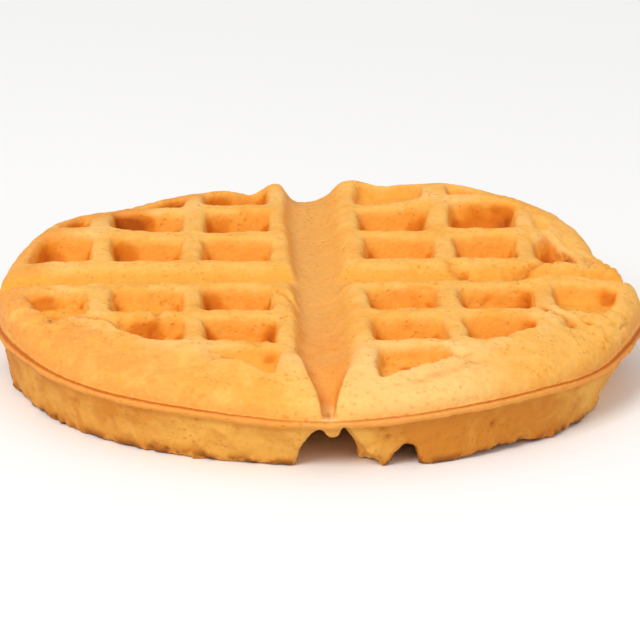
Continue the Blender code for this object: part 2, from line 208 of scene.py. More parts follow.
class Socket:
    """A node's output in a tree. Arithmetic on it adds Math nodes."""

    def __init__(self, tree, socket):
        self.tree = tree
        self.socket = socket

    def maths(self, operation, *others):
        values = dict(enumerate((self, *others)))
        return self.tree.add("ShaderNodeMath", values, operation=operation)

    def __add__(self, other):
        return self.maths("ADD", other)

    def __sub__(self, other):
        return self.maths("SUBTRACT", other)

    def __mul__(self, other):
        return self.maths("MULTIPLY", other)

    def __truediv__(self, other):
        return self.maths("DIVIDE", other)

    def __pow__(self, other):
        return self.maths("POWER", other)

    def __rsub__(self, other):
        return self.tree.add("ShaderNodeMath", {0: other, 1: self}, operation="SUBTRACT")

    def __neg__(self):
        return self * -1.0

    def __abs__(self):
        return self.maths("ABSOLUTE")

    __radd__ = __add__
    __rmul__ = __mul__

    def least(self, other):
        return self.maths("MINIMUM", other)

    def most(self, other):
        return self.maths("MAXIMUM", other)

    def soft_least(self, other, blend):
        return self.maths("SMOOTH_MIN", other, blend)

    def soft_most(self, other, blend):
        return self.maths("SMOOTH_MAX", other, blend)

    def root(self):
        return self.most(0.0).maths("SQRT")

    def between(self, low, high):
        """0 at low and 1 at high, eased at both ends. High may be the lower number."""
        sockets = {"Value": self, "From Min": low, "From Max": high}
        return self.tree.add("ShaderNodeMapRange", sockets, interpolation_type="SMOOTHSTEP")

    def near(self, middle, width):
        """1 at the middle, easing to 0 at width on either side."""
        return abs(self - middle).between(width, 0.0)


class Tree:
    """Adds nodes to one node tree, each by its type, its settings and its sockets."""

    def __init__(self, tree):
        self.tree = tree

    @staticmethod
    def pick(sockets, key):
        in_use = [socket for socket in sockets if socket.enabled]
        if isinstance(key, int):
            return in_use[key]
        return next(socket for socket in in_use if socket.name == key)

    def add(self, kind, sockets=None, output=0, **settings):
        made = self.tree.nodes.new(kind)
        for name, value in settings.items():
            setattr(made, name, value)
        for key, value in (sockets or {}).items():
            self.feed(self.pick(made.inputs, key), value)
        return Socket(self, self.pick(made.outputs, output))

    def feed(self, target, value):
        if isinstance(value, Socket):
            self.tree.links.new(value.socket, target)
        else:
            target.default_value = value

    def split(self, vector):
        """The three numbers of a vector."""
        first = self.add("ShaderNodeSeparateXYZ", {"Vector": vector})
        return [Socket(self, output) for output in first.socket.node.outputs]

    def vector(self, x, y, z):
        return self.add("ShaderNodeCombineXYZ", {"X": x, "Y": y, "Z": z})

    def vector_maths(self, operation, *values, output=0):
        return self.add("ShaderNodeVectorMath", dict(enumerate(values)), output, operation=operation)

    def noise(self, place, size, detail=2.0, output="Fac", distortion=0.0):
        """Soft noise from 0 to 1 whose lumps are about as large as size."""
        sockets = {"Vector": place, "Scale": 1 / size, "Detail": detail, "Distortion": distortion}
        return self.add("ShaderNodeTexNoise", sockets, output)

    def stray(self, place, size):
        """Two soft random numbers, from about -0.5 to 0.5, to move X and Y by."""
        first, second, _ = self.split(self.noise(place, size, 1.5, "Color"))
        return first - 0.5, second - 0.5

    def grains(self, place, size):
        """The distance to the nearest of scattered points, in their spacing."""
        return self.add("ShaderNodeTexVoronoi", {"Vector": place, "Scale": 1 / size}, "Distance")


class GeometryTree(Tree):
    """A geometry tree with named inputs, whose result goes out with its material set."""

    def __init__(self, name, inputs):
        """inputs gives each input's name, socket type and value."""
        super().__init__(bpy.data.node_groups.new(name, "GeometryNodeTree"))
        side = self.tree.interface
        side.new_socket("Geometry", in_out="INPUT", socket_type="NodeSocketGeometry")
        side.new_socket("Geometry", in_out="OUTPUT", socket_type="NodeSocketGeometry")
        self.values = {}
        for input_name, kind, value in inputs:
            made = side.new_socket(input_name, in_out="INPUT", socket_type="NodeSocket" + kind)
            self.values[made.identifier] = value
        self.way_in = self.tree.nodes.new("NodeGroupInput")

    def given(self, name):
        return Socket(self, self.way_in.outputs[name])

    def position(self):
        return self.add("GeometryNodeInputPosition")

    def attribute(self, name):
        return self.add("GeometryNodeInputNamedAttribute", {"Name": name}, data_type="FLOAT")

    def guide_points(self, name):
        """The points of the guide that is given under this name."""
        return self.add("GeometryNodeObjectInfo", {"Object": self.given(name)}, "Geometry")

    def sample(self, points, value, index, kind="FLOAT"):
        """The value of one of the points."""
        sockets = {"Geometry": points, "Value": value, "Index": index}
        return self.add("GeometryNodeSampleIndex", sockets, data_type=kind, domain="POINT")

    def keep(self, geometry, name, value):
        """The geometry with a number kept on each of its points under this name."""
        sockets = {"Geometry": geometry, "Name": name, "Value": value}
        return self.add("GeometryNodeStoreNamedAttribute", sockets, data_type="FLOAT", domain="POINT")

    def place(self, geometry, position):
        return self.add("GeometryNodeSetPosition", {"Geometry": geometry, "Position": position})

    def finish(self, geometry):
        real = self.add("GeometryNodeRealizeInstances", {"Geometry": geometry})
        smooth = self.add("GeometryNodeSetShadeSmooth", {"Geometry": real})
        done = self.add("GeometryNodeSetMaterial", {"Geometry": smooth, "Material": self.given("Material")})
        way_out = self.tree.nodes.new("NodeGroupOutput")
        self.feed(way_out.inputs["Geometry"], done)

    def put_on(self, piece):
        """Adds the tree to the piece as a modifier, with its inputs set."""
        modifier = piece.modifiers.new(self.tree.name, "NODES")
        modifier.node_group = self.tree
        for identifier, value in self.values.items():
            modifier[identifier] = value


class Nearest:
    """Reads values of the guide's point that is nearest to the place flat."""

    def __init__(self, tree, guide_name, flat):
        self.tree = tree
        self.flat = flat
        self.points = tree.guide_points(guide_name)
        sockets = {"Geometry": self.points, "Sample Position": flat}
        self.index = tree.add("GeometryNodeSampleNearest", sockets, domain="POINT")

    def number(self, name):
        return self.tree.sample(self.points, self.tree.attribute(name), self.index)

    def place(self):
        return self.tree.sample(self.points, self.tree.position(), self.index, "FLOAT_VECTOR")

    def away(self):
        return self.tree.vector_maths("DISTANCE", self.place(), self.flat, output="Value")


def distance(off_x, off_y):
    """How far off a place is that lies so far along X and Y."""
    return (off_x * off_x + off_y * off_y).root()


def ease(value):
    value = min(max(value, 0.0), 1.0)
    return value * value * (3 - 2 * value)


def guide(name, points, edges=(), **attributes):
    """A mesh of points for a tree to read, with a number on each point for every attribute."""
    mesh = bpy.data.meshes.new(name)
    mesh.from_pydata(points, edges, [])
    for key, values in attributes.items():
        mesh.attributes.new(key, "FLOAT", "POINT").data.foreach_set("value", values)
    made = bpy.data.objects.new(name, mesh)
    bpy.context.scene.collection.objects.link(made)
    return made


def bake(piece):
    """Turns the piece's modifiers into plain mesh."""
    bpy.context.view_layer.update()
    graph = bpy.context.evaluated_depsgraph_get()
    mesh = bpy.data.meshes.new_from_object(piece.evaluated_get(graph))
    piece.modifiers.clear()
    old = piece.data
    piece.data = mesh
    bpy.data.meshes.remove(old)


# The dough's form

def slab_profile():
    """The slab's outline as (radius, 0, height), from the middle of the top down to the middle below."""
    points = [(0.0, 0.0, TOP_HEIGHT)]
    for i in range(SHOULDER_STEPS + 1):
        turn = math.pi / 2 * i / (SHOULDER_STEPS + 1)
        out = math.sin(turn) ** (2 / SHOULDER_SQUARENESS)
        up = math.cos(turn) ** (2 / SHOULDER_SQUARENESS)
        radius = SHOULDER_START + (SEAM_RADIUS - LIP - SHOULDER_START) * out
        points.append((radius, 0.0, SEAM_HEIGHT + CROWN * up))
    points.extend((SEAM_RADIUS + out * LIP, 0.0, SEAM_HEIGHT + up * LIP) for out, up in LIP_SHAPE)
    points.extend((radius, 0.0, height) for radius, height in LOWER_SIDE)
    points.append((0.0, 0.0, 0.0))
    return points


def slab_top(radius):
    """The height of the slab's upper face there, before anything is pressed into it."""
    out = min(max((radius - SHOULDER_START) / (SEAM_RADIUS - LIP - SHOULDER_START), 0.0), 1.0)
    return SEAM_HEIGHT + CROWN * (1 - out ** SHOULDER_SQUARENESS) ** (1 / SHOULDER_SQUARENESS)


def pocket_cells():
    """The quarter, column and row of every pocket, with the middle of its cell."""
    for side_x in (-1, 1):
        for side_y in (-1, 1):
            for column in range(1, POCKETS_PER_ROW + 1):
                for row in range(1, POCKETS_PER_ROW + 1):
                    if column + row < 2 * POCKETS_PER_ROW:
                        x = side_x * (RIDGE + (column - 0.5) * PITCH)
                        y = side_y * (RIDGE + (row - 0.5) * PITCH)
                        yield (side_x, side_y, column, row), Vector((x, y, 0))


def stud_guides():
    """The places of the studs of both plates, with each one's depth and turn, drawn as for the solid."""
    draws = random.Random(SEED)
    above, below = [], []
    for cell, centre in pocket_cells():
        depth = POCKET_DEPTH * DEPTH_LEFT.get(cell, 1.0) + draws.uniform(-0.5, 0.5) * MM
        shift = Vector((draws.uniform(-0.6, 0.6), draws.uniform(-0.6, 0.6), 0)) * MM
        above.append((centre + shift, depth, math.radians(draws.uniform(-3, 3))))
    for _, centre in pocket_cells():
        depth = UNDER_POCKET_DEPTH + draws.uniform(-0.6, 0.4) * MM
        turn = math.radians(draws.uniform(-2, 2))
        if math.hypot(*(abs(v) - PITCH / 2 for v in centre.xy)) < 0.9 * UNDER_REACH[0]:
            below.append((centre, depth, turn))
    made = []
    for name, studs in (("TopStuds", above), ("UnderStuds", below)):
        places, depths, turns = zip(*studs)
        made.append(guide(name, places, depth=depths, turn=turns))
    return made


def fold_guide():
    """Close points along every fold, whose depth fades out at both ends."""
    places, depths, widths = [], [], []
    for depth, width, path in FOLDS:
        for i in range(len(path) - 1):
            start, end = Vector(path[i]), Vector(path[i + 1])
            steps = max(1, round((end - start).length / FOLD_STEP))
            for step in range(steps):
                along = (i + step / steps) / (len(path) - 1)
                places.append((*(start.lerp(end, step / steps) * MM), 0.0))
                depths.append(depth * MM * (4 * along * (1 - along)) ** 0.5)
                widths.append(width * MM)
    return guide("Folds", places, depth=depths, width=widths)


def patch_guide():
    xs, ys, reaches, amounts = zip(*BROWN_PATCHES)
    places = [(x * MM, y * MM, 0.0) for x, y in zip(xs, ys)]
    return guide("BrownPatches", places, reach=[reach * MM for reach in reaches], amount=amounts)


def reach_guides():
    made = []
    for name, reach in (("TopReach", TOP_REACH), ("UnderReach", UNDER_REACH)):
        made.append(guide(name, [(0, 0, 0)] * len(reach), reach=reach))
    return made


def turned_slab(tree):
    """The outline turned round the upright axis, as one closed mesh."""
    counts = {"Vertices X": PROFILE_STEPS, "Vertices Y": TURN_STEPS + 1, "Size X": 1.0, "Size Y": 1.0}
    grid = tree.add("GeometryNodeMeshGrid", counts)
    along, around, _ = tree.split(tree.position())
    outline = tree.add("GeometryNodeMeshToCurve", {"Mesh": tree.guide_points("Profile")})
    point = tree.add("GeometryNodeSampleCurve", {"Curves": outline, "Factor": along + 0.5}, "Position",
                     mode="FACTOR", use_all_curves=True)
    radius, _, height = tree.split(point)
    angle = around * math.tau
    turned = tree.vector(radius * angle.maths("COSINE"), radius * angle.maths("SINE"), height)
    skin = tree.place(grid, turned)
    return tree.add("GeometryNodeMergeByDistance", {"Geometry": skin, "Distance": 0.002 * MM})


def reach_of_pockets(tree, plate, x, y):
    """How far out the plate's pockets go in this direction, blended between the values of its guide."""
    points, reach = tree.guide_points(plate + " Reach"), tree.attribute("reach")
    place = (y.maths("ARCTAN2", x) / math.tau + 1.0).maths("FRACT") * len(TOP_REACH)
    before = place.maths("FLOOR")
    after = (before + 1.0).maths("MODULO", float(len(TOP_REACH)))
    share = (place - before).between(0.0, 1.0)
    return tree.sample(points, reach, before) * (1 - share) + tree.sample(points, reach, after) * share


def pressed_by_studs(tree, plate, x, y):
    """How deep the plate's studs press below the face, at x and y. It is negative between the pockets."""
    stud = Nearest(tree, plate + " Studs", tree.vector(x, y, 0.0))
    centre_x, centre_y, _ = tree.split(stud.place())
    turn = stud.number("turn")
    cosine, sine = turn.maths("COSINE"), turn.maths("SINE")
    off_x, off_y = x - centre_x, y - centre_y
    across = abs(off_x * cosine + off_y * sine)
    along = abs(off_y * cosine - off_x * sine)
    limit = reach_of_pockets(tree, plate, x, y) + REACH_AT_FACE

    mouth = (tree.given("Pitch") - tree.given("Rib Width")) / 2
    corner = tree.given("Corner Rounding")
    inside = (mouth - across).soft_least(mouth - along, corner).soft_least(limit - distance(x, y), corner)
    deepest, rounding = stud.number("depth"), tree.given("Floor Rounding")
    return (inside / tree.given("Pocket Slope")).soft_least(deepest, rounding)


def trough(across, half_width, deepest, face, squareness):
    """The height that a bar leaves: deepest in the middle, and curving to the face at its half width."""
    return deepest + (face - deepest) * (abs(across) / half_width) ** squareness


def torn(centre, radii, squareness, x, y):
    """The height up to which a ball, or a squarer lump, at centre takes the dough away from below."""
    off_x, off_y = abs(x - centre[0]) / radii[0], (y - centre[1]) / radii[1]
    left = 1 - (off_x ** squareness + off_y * off_y)
    return centre[2] + radii[2] * left.maths("SIGN") * abs(left).root()


def upper_limit(tree, x, moved_x, moved_y):
    """The height that the upper plate leaves, with its studs and the bars of its two channels."""
    top = TOP_HEIGHT - pressed_by_studs(tree, "Top", moved_x, moved_y)
    drop = (-moved_y).between(*CHANNEL_DROP)
    left, right = CHANNEL_SQUARENESS
    squareness = left + (right - left) * x.between(-1.0 * MM, 1.0 * MM).most(drop)
    width = CHANNEL_HALF_WIDTH * (1 - CHANNEL_NARROWING * drop)
    floor = SEAM_HEIGHT + CHANNEL_FLOOR * (1 - drop)
    channel = trough((x + moved_x) / 2, width, floor, TOP_HEIGHT, squareness)
    floor = SEAM_HEIGHT + CROSS_FLOOR - CROSS_FALL * abs(moved_x).between(*CROSS_END)
    cross = trough(moved_y, CROSS_HALF_WIDTH, floor, TOP_HEIGHT, CROSS_SQUARENESS)
    return top.soft_least(channel, 1.5 * MM + drop * 3.5 * MM).soft_least(cross, 1.5 * MM)


def lower_limit(tree, ragged, moved_x, moved_y):
    """The height that the lower plate leaves, raised where the dough is torn away. ragged are the two
    random numbers that roughen the tears."""
    below = pressed_by_studs(tree, "Under", moved_x, moved_y)
    bars = ((moved_x, moved_y, UNDER_HALF_WIDTH), (moved_y, moved_x, CROSS_HALF_WIDTH))
    for across, along, half_width in bars:
        lift = abs(along).between(*UNDER_LIFT)
        ceiling = SEAM_HEIGHT + UNDER_CEILING * (1 - lift) - UNDER_LIP * lift
        below = below.most(trough(across, half_width, ceiling, 0.0, UNDER_SQUARENESS))
    torn_x, torn_y = moved_x + ragged[0] * 0.9 * MM, moved_y + ragged[1] * 0.9 * MM
    for centre, radii, squareness in TEARS:
        below = below.most(torn(centre, radii, squareness, torn_x, torn_y))
    centre, radii = TONGUE
    hanging = torn((centre[0], centre[1], 0.0), radii, 2, torn_x, torn_y)
    return below.least(centre[2] - hanging)


def dough_tree(studs, reaches, profile, material):
    """The turned slab, pressed between the two plates."""
    inputs = [
        ("Pitch", "Float", PITCH), ("Rib Width", "Float", RIB_WIDTH), ("Pocket Slope", "Float", POCKET_SLOPE),
        ("Corner Rounding", "Float", 4.2 * MM), ("Floor Rounding", "Float", 4.0 * MM),
        ("Rim Rounding", "Float", 4.5 * MM), ("Unevenness", "Float", 2.6 * MM),
        ("Top Studs", "Object", studs[0]), ("Under Studs", "Object", studs[1]),
        ("Top Reach", "Object", reaches[0]), ("Under Reach", "Object", reaches[1]),
        ("Profile", "Object", profile), ("Material", "Material", material),
    ]
    tree = GeometryTree("Pressed dough", inputs)
    slab = turned_slab(tree)
    x, y, z = tree.split(tree.position())
    stray_x, stray_y = tree.stray(tree.vector(x, y, z * 0.4), 13 * MM)
    ragged = tree.stray(tree.vector(x, y, z * 0.2), 4.0 * MM)
    spread = tree.given("Unevenness")
    moved_x, moved_y = x + stray_x * spread, y + stray_y * spread
    above = upper_limit(tree, x, moved_x, moved_y)
    below = lower_limit(tree, ragged, moved_x, moved_y)
    height = z.soft_least(above, tree.given("Rim Rounding")).soft_most(below, 2.5 * MM)
    tree.finish(tree.place(slab, tree.vector(x, y, height)))
    return tree


def by_direction(values, angle):
    """A value for this angle, blended smoothly between values given for even steps round the circle."""
    place = (angle / math.tau * len(values)) % len(values)
    before = int(place)
    share = ease(place - before)
    return values[before] * (1 - share) + values[(before + 1) % len(values)] * share


def out_of_round(place, radius, angle):
    """How far the outline moves out there: in at the dent, and out where the foot spreads."""
    away = abs(math.degrees(angle) - DENT_AZIMUTH) / DENT_HALF_WIDTH
    dent = DENT_SHARE * radius * (1 - away * away) ** 2 if away < 1 else 0.0
    foot = by_direction(FOOT_SPREAD, angle) * ease((SEAM_HEIGHT - place.z) / SEAM_HEIGHT)
    return foot * ease((radius - 66 * MM) / (16 * MM)) - dent * ease((radius - 40 * MM) / (40 * MM))


def settle(place):
    """Where a point of the true shape ends up in the uneven dough, as in the solid."""
    lifted = ease(place.z / SEAM_HEIGHT)
    radius = math.hypot(place.x, place.y)
    wander = noise.noise_vector(Vector((place.x, place.y, SEED * WANDER_LENGTH)) / WANDER_LENGTH)
    moved = place + Vector((wander.x, wander.y, 0.35 * wander.z * lifted)) * WANDER
    for x, y, reach, rise in SWELLS:
        away = math.hypot(place.x - x, place.y - y) / reach
        if away < 1:
            moved.z += rise * (1 - away * away) ** 2 * lifted
    if radius > 40 * MM:
        angle = math.atan2(place.y, place.x)
        moved += Vector((math.cos(angle), math.sin(angle), 0)) * out_of_round(place, radius, angle)
        front = ease((-place.y / radius - 0.15) / 0.5)
        sunk = ease((radius - DROOP_START) / (DROOP_END - DROOP_START))
        moved.z -= FRONT_DROOP * front * sunk * ease((place.z - SEAM_HEIGHT) / (0.5 * CROWN))
    return moved


def crust_rise(tree, place, x, y, tall):
    """How far the crust rises out of the dough: its lumps, wrinkles, cracks, pits and crumbs."""
    radius = distance(x, y)
    side = tall.between(-1.0, -3.0) * radius.between(74 * MM, 80 * MM)
    rim = tall.near(0.0, 2.5) * radius.between(80 * MM, 84 * MM)
    lumps = tree.noise(place, 7 * MM, 2.0) - 0.5
    fine = tree.noise(place, 2.2 * MM, 2.0) - 0.5
    rise = lumps * tree.given("Lumps") * (1 + 0.8 * side + 0.9 * rim)
    rise = rise + fine * tree.given("Fine") * (1 + 1.8 * side)

    rough = tree.given("Roughness")
    for rough_x, rough_y, reach, amount in ROUGH_PLACES:
        rough = rough + distance(x - rough_x, y - rough_y).between(reach, 0.3 * reach) * amount
    wrinkles = tree.noise(place, 10 * MM, 2.0, distortion=0.8) - 0.5
    crack = tree.noise(place, 12 * MM, 2.5, distortion=1.2).near(0.5, 0.03) * (rough / MM).least(1.5)
    rise = rise + (wrinkles * rough * 2 - crack * tree.given("Cracks")) * tall.between(2.0, 5.0)

    pit = tree.grains(place, 4.5 * MM).between(0.42, 0.1)
    chosen = tree.noise(place, 11 * MM, 1.0).between(0.5, 0.62)
    rise = rise - pit * chosen * tree.given("Pits") * (0.25 + side)

    foot = tall.between(-9.5, -13.5) * radius.between(70 * MM, 78 * MM)
    crumbly = foot * tree.noise(place, 19 * MM, 1.0).between(0.46, 0.58)
    crumbs = tree.grains(place, 2.6 * MM) - 0.45
    return rise - crumbs * crumbly * tree.given("Crumbs")


def browning_and_shade(tree, place, normal, flat, high):
    """How browned and shaded the upper face is: in its pockets, most at their ends and hollows, where the
    darkening is painted shade mixed with browning, and in its patches, which baked darker.
    """
    tall, pressed = tree.attribute("tall"), tree.attribute("pressed")
    across, _, _ = tree.split(normal)
    inside = pressed.between(2.0, 6.0) * tall.between(1.0, 3.0)
    ends = abs(across).between(0.3, 0.85)
    uneven = 0.35 + 1.1 * tree.noise(place, 30 * MM, 1.0)
    # Painted shade mixed with browning: darker in the pockets' hollows and at their ends, where occlusion
    # falls
    pocket_browning_and_shade = inside * (tree.attribute("hollow").between(0.3, 2.4) * 0.7 + ends * 0.5) * uneven
    spot = Nearest(tree, "Patches", flat)
    patch = (spot.away() / spot.number("reach")).between(1.0, 0.15) * spot.number("amount")
    sunken = 0.25 + 0.75 * pressed.between(0.5, 3.5)
    ragged = 0.5 + tree.noise(place, 4 * MM, 2.0)
    return pocket_browning_and_shade + patch * high * sunken * ragged


def surface_tree(folds, patches, material):
    """The relief of the crust, and numbers for its finish: how creased, hollow, browned and shaded, and
    folded it is.
    The finish darkens by the creases, hollows and folds as painted shade.
    """
    inputs = [
        ("Roughness", "Float", 0.25 * MM), ("Lumps", "Float", 0.9 * MM), ("Fine", "Float", 0.34 * MM),
        ("Pits", "Float", 0.9 * MM), ("Crumbs", "Float", 1.9 * MM), ("Cracks", "Float", 0.6 * MM),
        ("Folds", "Object", folds), ("Patches", "Object", patches), ("Material", "Material", material),
    ]
    tree = GeometryTree("Crust relief", inputs)
    place = tree.position()
    x, y, _ = tree.split(place)
    tall = tree.attribute("tall")
    high = tall.between(2.0, 5.0)

    stray_x, stray_y = tree.stray(place, 5 * MM)
    flat = tree.vector(x + stray_x * 3 * MM, y + stray_y * 3 * MM, 0.0)
    fold = Nearest(tree, "Folds", flat)
    share = fold.away() / fold.number("width")
    folded = (share.between(1.0, 0.0) - share.near(1.3, 0.7) * 0.3) * fold.number("depth")
    rise = crust_rise(tree, place, x, y, tall) - folded * high
    normal = tree.add("GeometryNodeInputNormal")
    offset = tree.add("ShaderNodeVectorMath", {0: normal, "Scale": rise}, operation="SCALE")
    made = tree.add("GeometryNodeSetPosition", {"Geometry": tree.given("Geometry"), "Offset": offset})

    # How concave the crust is, finely and broadly; the finish darkens creases and hollows by these as painted
    # shade
    for name, iterations in (("crease", 8), ("hollow", 60)):
        sockets = {"Value": place, "Iterations": iterations}
        blurred = tree.add("GeometryNodeBlurAttribute", sockets, data_type="FLOAT_VECTOR")
        off = tree.vector_maths("SUBTRACT", blurred, place)
        bent = tree.vector_maths("DOT_PRODUCT", off, normal, output="Value")
        made = tree.keep(made, name, bent / MM)
    # The browning, with painted shade in the pockets' hollows and ends, kept for the finish
    made = tree.keep(made, "browned", browning_and_shade(tree, place, normal, flat, high))
    tree.finish(tree.keep(made, "folded", folded / MM * high))
    return tree


def pressed_dough(material):
    """The waffle as the iron leaves it, still true and smooth."""
    studs = stud_guides()
    reaches = reach_guides()
    points = slab_profile()
    profile = guide("Profile", points, [(i, i + 1) for i in range(len(points) - 1)])
    waffle = guide("waffle_crust", [(0, 0, 0)])
    dough_tree(studs, reaches, profile, material).put_on(waffle)
    remesh = waffle.modifiers.new("Dough", "REMESH")
    remesh.mode = "VOXEL"
    remesh.voxel_size = VOXEL
    rounding = waffle.modifiers.new("Rounding", "SMOOTH")
    rounding.factor = 0.5
    rounding.iterations = 3
    bake(waffle)
    for guiding in (*studs, *reaches, profile):
        bpy.data.objects.remove(guiding)
    return waffle


def settle_dough(waffle):
    """Moves every point to its place in the uneven dough. Before that it keeps how tall the point is
    above the seam and how far it is pressed below the slab's face, both in millimetres."""
    places = [vert.co.copy() for vert in waffle.data.vertices]
    tall = [(place.z - SEAM_HEIGHT) / MM for place in places]
    pressed = [(slab_top(math.hypot(place.x, place.y)) - place.z) / MM for place in places]
    for name, values in (("tall", tall), ("pressed", pressed)):
        waffle.data.attributes.new(name, "FLOAT", "POINT").data.foreach_set("value", values)
    for vert in waffle.data.vertices:
        vert.co = settle(vert.co)


def rest_like_solid(waffle):
    """Puts the waffle in the middle of the solid's box, with its lowest ribs pressed flat on the ground."""
    middle = (SOLID_LOW + SOLID_HIGH) / 2
    corners = [[vert.co[axis] for vert in waffle.data.vertices] for axis in range(2)]
    shift = [middle[axis] - (min(corners[axis]) + max(corners[axis])) / 2 for axis in range(2)]
    for vert in waffle.data.vertices:
        vert.co += Vector((*shift, -REST_CUT))
        vert.co.z = max(vert.co.z, 0.0)


def waffle_piece(material):
    waffle = pressed_dough(material)
    settle_dough(waffle)
    folds, patches = fold_guide(), patch_guide()
    surface_tree(folds, patches, material).put_on(waffle)
    waffle.data.calc_loop_triangles()
    thin = waffle.modifiers.new("Faces", "DECIMATE")
    thin.ratio = min(1.0, MOST_TRIANGLES / len(waffle.data.loop_triangles))
    bake(waffle)
    for guiding in (folds, patches):
        bpy.data.objects.remove(guiding)
    rest_like_solid(waffle)
    waffle.data.shade_smooth()
    return waffle


# The crust's finish

# Colours of the ribs, the pockets, the channels, the side and the seam. PALE also paints highlight, and
# ORANGE, DEEP, BROWN, TAN, SIDE_BROWN and the seam's crease colour also paint shade
RIB = (0.90, 0.465, 0.10, 1)
PALE = (0.90, 0.55, 0.19, 1)
GOLD = (0.86, 0.37, 0.046, 1)
ORANGE = (0.81, 0.295, 0.020, 1)
DEEP = (0.66, 0.19, 0.008, 1)
BROWN = (0.38, 0.078, 0.002, 1)
TAN = (0.79, 0.375, 0.085, 1)
WARM = (0.81, 0.315, 0.056, 1)
SIDE_GOLD = (0.78, 0.39, 0.068, 1)
SIDE_BROWN = (0.58, 0.205, 0.020, 1)
BURNT = (0.24, 0.07, 0.010, 1)
SEAM_CREASE_SHADE = (0.50, 0.12, 0.008, 1)

# The middle of the painted highlight on the upper face, at the front right
HIGHLIGHT_PLACE = (24 * MM, -82 * MM)


class CrustTree(Tree):
    """The crust's shader tree, with the places, numbers and noises that its colours go by. tall is the
    height above the seam and pressed the depth below the slab's face, both in millimetres."""

    def __init__(self, tree):
        super().__init__(tree)
        place = self.add("ShaderNodeTexCoord", output="Object")
        self.x, self.y, _ = self.split(place)
        self.radius = distance(self.x, self.y)
        self.tall, self.pressed = self.number("tall"), self.number("pressed")
        self.crease, self.hollow = self.number("crease"), self.number("hollow")
        self.browned, self.folded = self.number("browned"), self.number("folded")
        self.channel = abs(self.x).between(9 * MM, 6 * MM) * self.pressed.between(1.5, 4.0)

        self.patches = self.noise(place, 16 * MM, 2.0)
        self.blotches = self.noise(place, 7 * MM, 3.0, distortion=0.6)
        self.mottle = self.noise(place, 4.5 * MM, 3.0)
        self.specks = self.noise(place, 1.5 * MM, 2.0)
        self.grit = self.noise(place, 0.6 * MM, 2.0)
        chosen = self.noise(place, 9 * MM, 1.0).between(0.42, 0.62)
        self.pores = self.grains(place, 1.9 * MM).between(0.34, 0.12) * chosen
        self.golden = self.patches.between(0.38, 0.66) * 0.7 + self.mottle.between(0.42, 0.7) * 0.45 - 0.1

    def number(self, name):
        return self.add("ShaderNodeAttribute", output="Fac", attribute_name=name)

    def mix(self, factor, first, second):
        """Goes from the first colour to the second as the factor goes from 0 to 1."""
        sockets = {"Factor": factor, "A": first, "B": second}
        return self.add("ShaderNodeMix", sockets, data_type="RGBA", clamp_factor=True)


def top_colour(crust):
    """The upper face: its ribs, palest at the front right and along the crest as painted highlight, and gold
    where pressed.
    """
    pressed = crust.pressed
    pale_x, pale_y = HIGHLIGHT_PLACE
    # Painted highlight: paler at the front right and along the crest
    front_right = distance(crust.x - pale_x, crust.y - pale_y).between(38 * MM, 8 * MM)
    crest = crust.radius.near(72 * MM, 9 * MM) * pressed.between(3.0, 0.5)
    crest = crest * crust.blotches.between(0.35, 0.6)
    colour = crust.mix(crust.golden, RIB, GOLD)
    colour = crust.mix(front_right * 0.85 + crest * 0.7, colour, PALE)
    return crust.mix(pressed.between(0.2, 3.2) * 0.9, colour, GOLD)


def channel_colour(crust, colour):
    """Gold in the cross channel, and tan in the other, with more tan on its left half as painted shade of the
    left ridge, warmer at the front and pale at its end.
    """
    y, channel, blotches = crust.y, crust.channel, crust.blotches
    cross = abs(y).between(7.5 * MM, 5 * MM) * crust.pressed.between(1.0, 3.0)
    colour = crust.mix(cross * (1 - channel) * (0.2 + blotches), colour, GOLD)
    # Painted shade: more tan on the channel's left half, in the left ridge's shade
    colour = crust.mix(channel * (0.6 + 0.3 * crust.x.between(2 * MM, -1 * MM)), colour, TAN)
    colour = crust.mix(channel * y.between(-15 * MM, -55 * MM) * (0.2 + blotches), colour, WARM)
    return crust.mix(channel * y.between(-77 * MM, -85 * MM) * (1.3 - blotches), colour, PALE)


def browned_and_shaded_colour(crust, colour):
    """Orange to brown in the pockets, deeper where they are pressed deeper, in their hollows and at their
    ends, which is painted shade mixed with browning, and in the patches that baked darker.
    """
    browned, blotches = crust.browned, crust.blotches
    # Painted shade: a little more orange the deeper a pocket is pressed
    sunken = crust.pressed.between(1.0, 6.0) * (1 - crust.channel) * abs(crust.y).between(6 * MM, 9 * MM)
    orange = browned.between(0.1, 0.7) * 0.7 + sunken * 0.12 + (blotches - 0.5) * 0.6
    colour = crust.mix(orange, colour, ORANGE)
    colour = crust.mix(browned.between(0.3, 0.95) + (blotches - 0.5) * 0.4, colour, DEEP)
    return crust.mix(browned.between(0.9, 2.0) * (0.5 + blotches * 0.8), colour, BROWN)


def shoulder_colour(crust, colour):
    """Warmer where the upper face falls to the seam, most at the left and at the far right."""
    x, tall, blotches = crust.x, crust.tall, crust.blotches
    smooth = crust.pressed.between(2.5, 0.5)
    left = x.between(-5 * MM, -55 * MM) * crust.radius.between(72 * MM, 80 * MM) * blotches.between(0.2, 0.6)
    near_seam = tall.between(9.0, 1.5) * crust.patches.between(0.35, 0.6) * 0.5
    colour = crust.mix((near_seam + left) * smooth * 0.85, colour, WARM)
    ends = 0.45 + 0.55 * x.between(10 * MM, -30 * MM) + x.between(52 * MM, 78 * MM) * 0.6
    return crust.mix(tall.between(9.5, 3.0) * ends * (blotches + 0.45) * smooth, colour, WARM)


